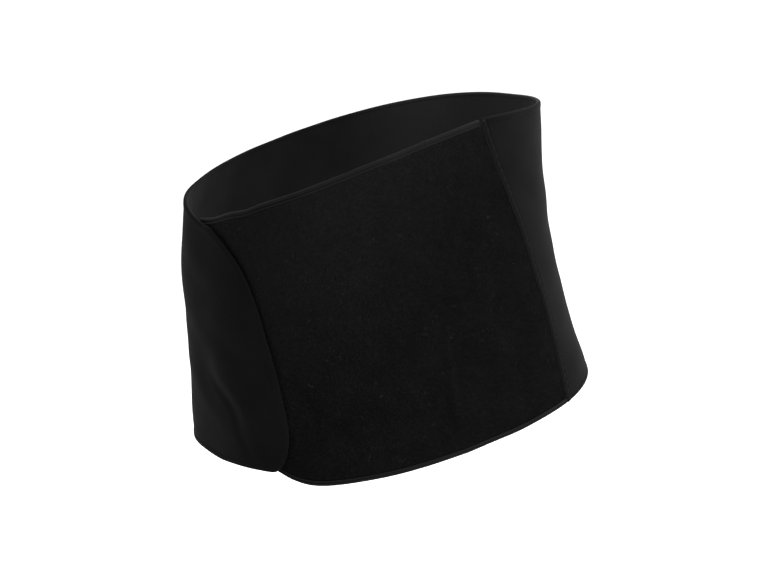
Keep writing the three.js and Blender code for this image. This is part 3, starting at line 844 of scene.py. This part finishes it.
def binding_section(width, direction):
    """The folded tape's section as a loop of drops from the edge and depths from the panel's face, and the
    drop of its stitches. The section is cut at each of the given directions."""
    inner, outer = TAPE_RADIUS - TAPE_THICKNESS, TAPE_RADIUS
    turn = np.linspace(0, math.pi, 15)
    leg = np.linspace(0, 1, 17)[:-1]
    stitch = width * STITCH_AT
    pull = read(TAPE_GROOVE, "direction", direction, "share")[:, None]

    def face(drop):
        bead = TAPE_BEAD * np.exp(-((drop - width * BEAD_AT) / (width * BEAD_WIDE)) ** 2)
        groove = TAPE_GROOVE_DEPTH * np.exp(-((drop - stitch) / (width * GROOVE_WIDE)) ** 2)
        return bead - pull * groove

    middle = PANEL_THICKNESS / 2
    down = width + leg * (outer - width)
    drop_out = np.concatenate([down, outer - outer * np.sin(turn), down[::-1]])
    depth_out = np.concatenate([middle - outer - face(down), 0 * pull + middle - outer * np.cos(turn),
                                middle + outer + face(down)[:, ::-1]], 1)
    down_in = width - TAPE_STEP + leg * (outer - width + TAPE_STEP)
    drop_in = np.concatenate([down_in, outer - inner * np.sin(turn), down_in[::-1]])
    depth_in = np.concatenate([middle - inner + 0 * leg, middle - inner * np.cos(turn),
                               middle + inner + 0 * leg]) + 0 * pull
    depth_in[:, :len(leg)] = np.maximum(depth_in[:, :len(leg)], depth_out[:, :len(leg)] + TAPE_LEAST)
    depth_in[:, -len(leg):] = np.minimum(depth_in[:, -len(leg):], depth_out[:, -len(leg):] - TAPE_LEAST)
    tip = (inner + outer) / 2
    loop_drop = np.concatenate([drop_out, [width + TAPE_TIP], drop_in[::-1], [width + TAPE_TIP]])
    loop_depth = np.concatenate([depth_out, middle + tip + 0 * pull, depth_in[:, ::-1],
                                 middle - tip + 0 * pull], 1)
    return loop_drop, loop_depth, stitch, middle - outer + TAPE_GROOVE_DEPTH * pull[:, 0]


def tube_faces(columns, around):
    """A tube of closed sections whose outer line comes first and its inner line last, with both ends shut."""
    column, i = np.meshgrid(np.arange(columns - 1), np.arange(around), indexing="ij")
    a = column * around + i
    b = column * around + (i + 1) % around
    sides = np.stack([a, a + around, b + around, b], -1).reshape(-1, 4)
    out = np.arange(around // 2)
    across = around - 1 - out
    cap = np.stack([out[:-1], out[1:], across[1:], across[:-1]], -1)
    return np.concatenate([sides, cap, cap[:, ::-1] + (columns - 1) * around])


# The tape has no painted edge colour, so all of it counts as far from its edge.
FAR_FROM_EDGE = 99.0


def edge_binding(name, upward, width, material):
    """The folded tape along the panel's upper edge (upward 1) or lower edge (upward -1), and the line of its
    stitches."""
    start = PANEL_END_DIRECTION + PANEL_END_CORNER
    edge = "top" if upward > 0 else "bottom"

    def end(height):
        return beside_seam(height, -SEAM_OVER_PANEL - CLEARANCE)

    count = BINDING_COLUMNS
    places = np.linspace(0, 1, count)
    at_edge = start + places * (end(1.0 if upward > 0 else 0.0) - start)
    drop, depth, stitch, stitch_depth = binding_section(width, at_edge)

    def place(drop, depth):
        height = panel_edge(at_edge, edge)[:, None] - upward * drop / belt_height(at_edge)[:, None]
        return belt_point(start + places[:, None] * (end(height) - start), height, -depth)

    points = place(drop[None], depth)
    around = len(drop)
    # The section starts with the tip of its front leg, so that the two halves of the loop face each other.
    points = np.roll(points, 1, axis=1)
    faces = tube_faces(count, around)
    if upward < 0:
        faces = faces[:, ::-1]
    along = along_line(points[:, around // 4])
    across = along_line(points[count // 2])
    uv = np.stack(np.broadcast_arrays(along[:, None], across[None]), -1).reshape(-1, 2)
    from_edge = np.full(points[..., 0].size, FAR_FROM_EDGE)
    made = make_object(name, points.reshape(-1, 3), faces, uv, [material], from_edge)
    return made, place(np.full((count, 1), stitch), stitch_depth[:, None])[:, 0]


# Polyester and elastane tape, knitted and folded: smoother than the band, so it carries a thin light line.
BINDING_CLOTH = knit_cloth("elastane_tape_folded", "101010", "151515", "121212", 1, wale=0.9, course=0.9,
                           depth=0.1, roughness=0.65, gloss=0.02, sheen=0.03, grain=1.2)

top_binding, top_stitch_line = edge_binding("top_binding_tape", 1, TOP_BINDING_WIDTH, BINDING_CLOTH)
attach(top_binding, "root")
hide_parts("top_edge_binding")

bottom_binding, bottom_stitch_line = edge_binding(
    "bottom_binding_tape", -1, BOTTOM_BINDING_WIDTH, BINDING_CLOTH)
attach(bottom_binding, "root")
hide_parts("bottom_edge_binding")

binding_stitches = sew("binding_stitches", [top_stitch_line, bottom_stitch_line],
                       pitch=2.9, length=2.3, width=0.45, thread=THREAD)


# Side seam.
# Where the panel meets the band, the two edges are butted and covered with a narrow soft strip, sewn flat.

SEAM_WIDTH, SEAM_THICKNESS, SEAM_INSET, SEAM_LAY, SEAM_THINNED = 5, 0.75, 0.8, 0.15, 0.5
SEAM_CROWN, SEAM_PINCH, COVER_PITCH = 0.15, 0.08, 6.2


def strip_start(height):
    return beside_seam(height, -SEAM_OVER_PANEL)


def strip_end(height):
    return strip_start(height) + degrees(SEAM_WIDTH, seam_direction(height), height)


def strip_relief(direction, height, distance):
    """The strip is crowned by what it covers, pressed thin over the pile, and drawn in a little under each
    crossing thread."""
    crown = SEAM_CROWN * smooth(distance / 2)
    over_pile = (direction - strip_start(height)) / degrees(1, direction, height)
    thinned = SEAM_THINNED * (1 - smooth(over_pile / SEAM_OVER_PANEL))
    pinch = SEAM_PINCH * np.cos(2 * math.pi * height * FRONT_HEIGHT / COVER_PITCH) * smooth(distance / 1.2)
    return crown - pinch - thinned, 0 * distance


# Soft dull tape of the same yarns, a little paler along its edges: painted light over the flanks that lie in
# shade.
SEAM_CLOTH = knit_cloth("elastane_tape_flat", "0a0a0a", "0e0e0e", "161616", 1.2, wale=0.9, course=0.9,
                        depth=0.14, roughness=0.7, gloss=0.015, sheen=0.02, grain=1.2)
STRIP_PLACES = np.array([0, 0.02, 0.07, 0.15, 0.25, 0.38, 0.5, 0.62, 0.75, 0.85, 0.93, 0.98, 1])
seam_inset = SEAM_INSET / float(belt_height(seam_direction(0.5)))
strip, _ = cloth_layer(
    "seam_strip", strip_start, strip_end, level(seam_inset), level(1 - seam_inset),
    level(SEAM_LAY + SEAM_THICKNESS), SEAM_THICKNESS, STRIP_PLACES, rows=150, relief=strip_relief,
    materials=[SEAM_CLOTH])
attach(strip, "root")
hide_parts("side_seam")


def cover_stitch_tree():
    """Thread laid along a line as a thin round tube."""
    tree, given = new_tree("cover_stitch", Thread_radius=0.0, Thread=None)
    curve = add(tree, "GeometryNodeMeshToCurve", {0: given.outputs[0]})
    ring = add(tree, "GeometryNodeCurvePrimitiveCircle", {"Resolution": 5, "Radius": given.outputs[1]},
               mode="RADIUS")
    tube = add(tree, "GeometryNodeCurveToMesh", {0: curve.outputs[0], 1: ring.outputs[0], "Fill Caps": True})
    end_tree(tree, tube.outputs[0], given.outputs[2])
    return tree


# Where the thread enters and leaves the strip, how far it leans over one crossing and how high it lies.
COVER_FROM, COVER_TO, COVER_LEAN, COVER_LIFT = 0.32, 0.88, 0.12, 0.06


def crossing_line(low, high):
    """The thread's path: over the strip, back a little and over it again, from one edge to the other."""
    seam_at = float(belt_height(seam_direction(0.5)))
    turns = np.arange(low, high, COVER_PITCH / 2 / seam_at)
    line = []
    for i, height in enumerate(turns):
        ends = (COVER_FROM, COVER_TO) if i % 2 == 0 else (COVER_TO, COVER_FROM)
        for share in np.linspace(*ends, 6):
            h = height + COVER_LEAN * share * COVER_PITCH / 2 / seam_at
            direction = strip_start(h) + share * (strip_end(h) - strip_start(h))
            crown = SEAM_CROWN * smooth(min(share, 1 - share) * SEAM_WIDTH / 2)
            line.append(belt_point(direction, h, SEAM_LAY + SEAM_THICKNESS + crown + COVER_LIFT))
    return np.array(line).reshape(-1, 3)


cover_source = line_object([crossing_line(0.02, 0.98)])
cover_stitches = grown(cover_source, cover_stitch_tree(), "seam_cover_stitches", {
    "Thread_radius": 0.16 * MM, "Thread": THREAD})
bpy.data.objects.remove(cover_source)
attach(cover_stitches, "root")


# Hook patch.
# A plain piece of hook tape sewn behind the flap's end. It holds the flap on the pile and doesn't show.

HOOK_INSET, HOOK_LENGTH, HOOK_LOWEST, HOOK_HIGHEST = 9, 48, 0.16, 0.6


def hook_end(height):
    edge = flap_direction(height)
    return edge - degrees(HOOK_INSET, edge, height)


def hook_start(height):
    return hook_end(height) - degrees(HOOK_LENGTH, hook_end(height), height)


# Nylon hook tape, woven with cut loops: a dull face full of tiny stiff hooks.
HOOK_CLOTH = knit_cloth("nylon_hook_tape_woven", "151517", "1c1c1f", "1c1c1f", 1, wale=1.6, course=1.6,
                        depth=0.4, roughness=0.7, gloss=0.05, sheen=0.02, grain=1.4)
hook, _ = cloth_layer(
    "hook_tape", hook_start, hook_end, level(HOOK_LOWEST), level(HOOK_HIGHEST),
    level(CLEARANCE + HOOK_THICKNESS), HOOK_THICKNESS, column_places(HOOK_LENGTH, 0, 0, step=2), rows=40,
    relief=lambda direction, height, distance: (0 * distance, 0 * distance), materials=[HOOK_CLOTH])
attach(hook, "root")
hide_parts("hook_patch")


# Studio.
# A pale floor well below the held belt, a white room and three large soft lights.

floor_mesh = bpy.data.meshes.new("studio_floor")
FLOOR_REACH, FLOOR_DROP = 12, -0.75
floor_mesh.from_pydata([(x * FLOOR_REACH, y * FLOOR_REACH, FLOOR_DROP)
                        for x, y in ((-1, -1), (1, -1), (1, 1), (-1, 1))], [], [(0, 1, 2, 3)])
floor = place_object("studio_floor", floor_mesh)
FLOOR_PAINT, floor_tree = new_material("matt_white_floor_painted")
set_shader(floor_tree, {"Base Color": linear("ffffff"), "Roughness": 1.0, "Specular IOR Level": 0.0})
floor_mesh.materials.append(FLOOR_PAINT)

scene = bpy.context.scene
scene.view_settings.view_transform = "Standard"
scene.view_settings.look = "None"
scene.world = scene.world or bpy.data.worlds.new("white_room")
scene.world.use_nodes = True
scene.world.node_tree.nodes.clear()
room = add(scene.world.node_tree, "ShaderNodeBackground", {"Color": (1, 1, 1, 1), "Strength": 1.03})
add(scene.world.node_tree, "ShaderNodeOutputWorld", {0: room.outputs[0]})


def away_from_belt(azimuth, elevation):
    """The direction outward from the belt, from degrees round it and above level."""
    a, e = math.radians(azimuth), math.radians(elevation)
    return Vector((math.sin(a) * math.cos(e), -math.cos(a) * math.cos(e), math.sin(e)))


def soft_light(name, azimuth, elevation, distance, size, watts):
    """A round soft light that faces the middle of the belt."""
    lamp = bpy.data.lights.new(name, "AREA")
    lamp.shape, lamp.size, lamp.energy = "DISK", size, watts
    out = away_from_belt(azimuth, elevation)
    made = place_object(name, lamp)
    made.location = Vector((0, 0, 0.11)) + out * distance
    made.rotation_euler = (-out).to_track_quat("-Z", "Y").to_euler()


soft_light("soft_light_front", azimuth=33, elevation=44, distance=2.4, size=1.2, watts=66)
soft_light("soft_light_right_back", azimuth=96, elevation=26, distance=2.4, size=1.0, watts=74)
soft_light("soft_light_left_back", azimuth=-150, elevation=42, distance=2.4, size=1.0, watts=15)

# The camera of the fitted view: its turn round the belt, height above level, roll, distance and lens.
AZIMUTH, ELEVATION, ROLL = -30, 18.24, math.radians(-6.81)
DISTANCE, LENS_PIXELS, IMAGE_WIDTH = 1.8, 2315.38, 770
AIM = Vector((0.01904, 0.01796, 0.08782))
SENSOR = 36
back = away_from_belt(AZIMUTH, ELEVATION)
right = Vector((math.cos(math.radians(AZIMUTH)), math.sin(math.radians(AZIMUTH)), 0))
up = back.cross(right)
turned_right = right * math.cos(ROLL) + up * math.sin(ROLL)
turned_up = up * math.cos(ROLL) - right * math.sin(ROLL)
lens = bpy.data.cameras.new("photo_camera")
lens.sensor_width = SENSOR
lens.lens = SENSOR * LENS_PIXELS / IMAGE_WIDTH
camera = place_object("photo_camera", lens)
camera.matrix_world = Matrix.Translation(AIM + back * DISTANCE) @ Matrix(
    (turned_right, turned_up, back)).transposed().to_4x4()
scene.camera = camera

bpy.context.view_layer.update()
